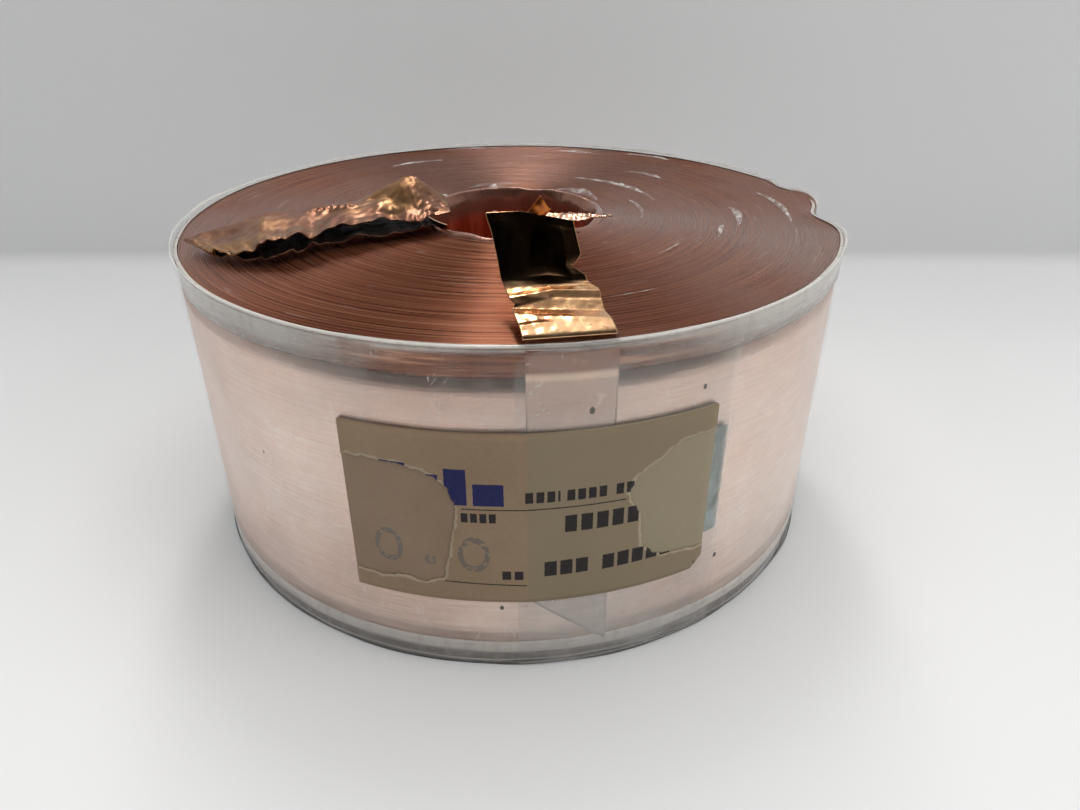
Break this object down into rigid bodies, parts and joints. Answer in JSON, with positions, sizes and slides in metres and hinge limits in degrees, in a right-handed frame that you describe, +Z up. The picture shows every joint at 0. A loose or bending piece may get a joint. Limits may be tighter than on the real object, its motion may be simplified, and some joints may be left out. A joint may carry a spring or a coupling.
{
  "type": "foil-wound air-core inductor",
  "caption": "Air-core choke wound from copper foil and clear film round an open bore, with a clear wrap, a paper label and two folded foil leads.",
  "frame": {"origin": "centre of the bore in the plane of the base", "axes": "+Z up along the bore; the label and the outer lead face -Y; +X to their right"},
  "size_m": [0.098, 0.0982, 0.0605],
  "materials": {
    "clear_film": "clear plastic film, glossy, seen edge on as whitish layers",
    "foil": "bare copper foil, satin (brass stands for copper)",
    "lead_foil": "folded copper foil, bright and creased (brass stands for copper)",
    "clear_tape": "clear adhesive tape",
    "label_back": "matt beige paper, torn back ply",
    "label_print": "matt beige paper, printed ply"
  },
  "bodies": {
    "coil": {"core_liner": "clear_film", "copper_foil": "foil", "insulating_film": "clear_film", "inner_lead_riser": "lead_foil", "inner_lead_tape": "clear_tape", "outer_lead_riser": "lead_foil", "outer_lead_tape": "clear_tape", "outer_wrap": "clear_film", "seam_tape": "clear_tape", "label_backing": "label_back", "label_face": "label_print"},
    "outer_lead": {"outer_lead_tail": "lead_foil", "outer_lead_fold": "lead_foil", "outer_lead_curl": "lead_foil"},
    "inner_lead": {"inner_lead_tail": "lead_foil", "inner_lead_return": "lead_foil"}
  },
  "joints": [
    {"name": "outer_lead_bend", "type": "hinge", "parent": "coil", "child": "outer_lead", "pos_m": [0.00788, -0.04721, 0.0469], "axis": [0.9864, 0.1646, 0], "range_deg": [-10, 150]},
    {"name": "inner_lead_bend", "type": "hinge", "parent": "coil", "child": "inner_lead", "pos_m": [-0.01242, -0.00527, 0.0469], "axis": [-0.3907, 0.9205, 0], "range_deg": [-1.5, 110]}
  ]
}
